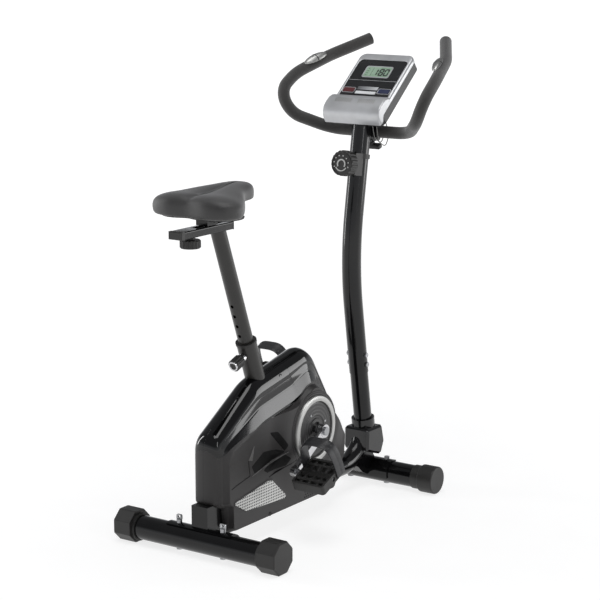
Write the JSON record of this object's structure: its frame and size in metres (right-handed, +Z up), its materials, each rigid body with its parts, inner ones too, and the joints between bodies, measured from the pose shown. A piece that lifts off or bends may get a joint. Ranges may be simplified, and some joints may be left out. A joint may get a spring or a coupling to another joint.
{
  "type": "exercise bike",
  "caption": "Upright magnetic exercise bike with height-adjustable saddle, tilting handlebar, console, cranks with strapped pedals and a belt-driven flywheel in a plastic housing.",
  "frame": {"origin": "on the floor under the middle of the bike's overall length and width", "axes": "+X to the rider's right, +Y forwards, +Z up"},
  "size_m": [0.486, 1.0218, 1.1991],
  "materials": {
    "black_enamel": "gloss",
    "chrome": "polished",
    "zinc_steel": "satin",
    "cast_iron": "machined",
    "gloss_shell": "gloss",
    "matte_plastic": "matte",
    "silver_plastic": "metallic satin",
    "foam": "matte",
    "strap_rubber": "matte",
    "belt_rubber": "matte",
    "vinyl": "matte",
    "lcd_glass": "satin",
    "red_button": "satin",
    "blue_button": "satin",
    "cable_sheath": "satin"
  },
  "bodies": {
    "frame": {"frame_beam": "black_enamel", "seat_tube": "black_enamel", "seat_bushing": "matte_plastic", "drive_mounts": "black_enamel", "stabiliser_brackets": "black_enamel", "rear_stabiliser": "black_enamel", "front_stabiliser": "black_enamel", "frame_bolts": "zinc_steel", "roller_hubs": "matte_plastic", "housing_left": "gloss_shell", "housing_right": "gloss_shell", "trim_rings": "silver_plastic", "round_covers": "matte_plastic", "grilles": "silver_plastic", "housing_screws": "zinc_steel", "post_boot": "matte_plastic", "handlebar_post": "black_enamel", "tension_base": "matte_plastic", "handlebar_clamp": "black_enamel", "cables": "cable_sheath", "console_back": "matte_plastic", "console_front": "silver_plastic", "console_panel": "gloss_shell", "console_cover": "silver_plastic", "lcd": "lcd_glass", "bb_bearings": "zinc_steel", "belt": "belt_rubber"},
    "crank": {"crank_axle": "zinc_steel", "crank_arms": "chrome", "pedal_spindles": "zinc_steel", "drive_pulley": "matte_plastic"},
    "pedal_right": {"pedal_right": "matte_plastic", "toe_strap_right": "strap_rubber"},
    "pedal_left": {"pedal_left": "matte_plastic", "toe_strap_left": "strap_rubber"},
    "flywheel": {"flywheel": "cast_iron", "flywheel_hub": "zinc_steel", "flywheel_shaft": "zinc_steel"},
    "brake_yoke": {"magnet_yoke": "black_enamel", "brake_magnets": "zinc_steel"},
    "tension_knob": {"tension_knob": "matte_plastic"},
    "handlebar": {"handlebar_tube": "black_enamel", "grips": "foam", "pulse_plates": "zinc_steel", "bar_ends": "matte_plastic"},
    "clamp_knob": {"clamp_knob": "matte_plastic"},
    "button_left": {"button_left": "red_button"},
    "button_right": {"button_right": "blue_button"},
    "seat_pin": {"seat_pin": "matte_plastic"},
    "seat_column": {"seat_post": "black_enamel", "seat_rail": "black_enamel", "rail_caps": "matte_plastic"},
    "rail_knob": {"rail_knob": "matte_plastic"},
    "saddle": {"saddle_carriage": "black_enamel", "saddle_base": "matte_plastic", "saddle_pad": "vinyl"},
    "levelling_cap_left": {"levelling_cap_left": "matte_plastic"},
    "levelling_cap_right": {"levelling_cap_right": "matte_plastic"},
    "roller_left": {"roller_left": "matte_plastic"},
    "roller_right": {"roller_right": "matte_plastic"}
  },
  "joints": [
    {"name": "crank_spin", "type": "hinge", "parent": "frame", "child": "crank", "pos_m": [0, -0.0389, 0.238], "axis": [1, 0, 0], "continuous": true},
    {"name": "pedal_right_spin", "type": "hinge", "parent": "crank", "child": "pedal_right", "pos_m": [0.163, -0.1649, 0.162], "axis": [1, 0, 0], "continuous": true},
    {"name": "pedal_left_spin", "type": "hinge", "parent": "crank", "child": "pedal_left", "pos_m": [-0.163, 0.0871, 0.314], "axis": [1, 0, 0], "continuous": true},
    {"name": "flywheel_spin", "type": "hinge", "parent": "frame", "child": "flywheel", "pos_m": [0, -0.3039, 0.215], "axis": [1, 0, 0], "continuous": true},
    {"name": "tension_turn", "type": "hinge", "parent": "frame", "child": "tension_knob", "pos_m": [0, 0.26136, 0.8745], "axis": [0, -0.9877, 0.1561], "range_deg": [-135, 135]},
    {"name": "yoke_swing", "type": "hinge", "parent": "frame", "child": "brake_yoke", "pos_m": [0, -0.19135, 0.24306], "axis": [1, 0, 0], "range_deg": [-3, 3]},
    {"name": "seat_height", "type": "slide", "parent": "frame", "child": "seat_column", "axis": [0, -0.3536, 0.9354], "range_m": [-0.11, 0.06]},
    {"name": "seat_pin_pull", "type": "slide", "parent": "frame", "child": "seat_pin", "axis": [0, -0.9354, -0.3536], "range_m": [0, 0.012], "stiffness_N_per_m": 900, "springref_m": -0.006},
    {"name": "saddle_slide", "type": "slide", "parent": "seat_column", "child": "saddle", "axis": [0, 1, 0], "range_m": [-0.02, 0.02]},
    {"name": "rail_knob_turn", "type": "hinge", "parent": "seat_column", "child": "rail_knob", "pos_m": [0, -0.4539, 0.764], "axis": [0, 0, 1], "range_deg": [-180, 180]},
    {"name": "handlebar_tilt", "type": "hinge", "parent": "frame", "child": "handlebar", "pos_m": [0, 0.3181, 0.957], "axis": [1, 0, 0], "range_deg": [-15, 10]},
    {"name": "clamp_knob_turn", "type": "hinge", "parent": "frame", "child": "clamp_knob", "pos_m": [0, 0.3221, 0.933], "axis": [0, 0.3489, -0.9371], "range_deg": [-180, 180]},
    {"name": "button_left_press", "type": "slide", "parent": "frame", "child": "button_left", "axis": [0, 0.6347, -0.7727], "range_m": [0, 0.001], "stiffness_N_per_m": 800, "springref_m": -0.0005},
    {"name": "button_right_press", "type": "slide", "parent": "frame", "child": "button_right", "axis": [0, 0.6347, -0.7727], "range_m": [0, 0.001], "stiffness_N_per_m": 800, "springref_m": -0.0005},
    {"name": "levelling_cap_left_turn", "type": "hinge", "parent": "frame", "child": "levelling_cap_left", "pos_m": [-0.213, -0.4249, 0.037], "axis": [1, 0, 0], "range_deg": [-90, 90]},
    {"name": "levelling_cap_right_turn", "type": "hinge", "parent": "frame", "child": "levelling_cap_right", "pos_m": [0.213, -0.4249, 0.037], "axis": [1, 0, 0], "range_deg": [-90, 90]},
    {"name": "roller_left_spin", "type": "hinge", "parent": "frame", "child": "roller_left", "pos_m": [-0.194, 0.3231, 0.037], "axis": [1, 0, 0], "continuous": true},
    {"name": "roller_right_spin", "type": "hinge", "parent": "frame", "child": "roller_right", "pos_m": [0.194, 0.3231, 0.037], "axis": [1, 0, 0], "continuous": true}
  ],
  "couplings": [
    {"joint": "flywheel_spin", "follows": "crank_spin", "ratio": 5.9375},
    {"joint": "yoke_swing", "follows": "tension_turn", "ratio": 0.022222}
  ]
}
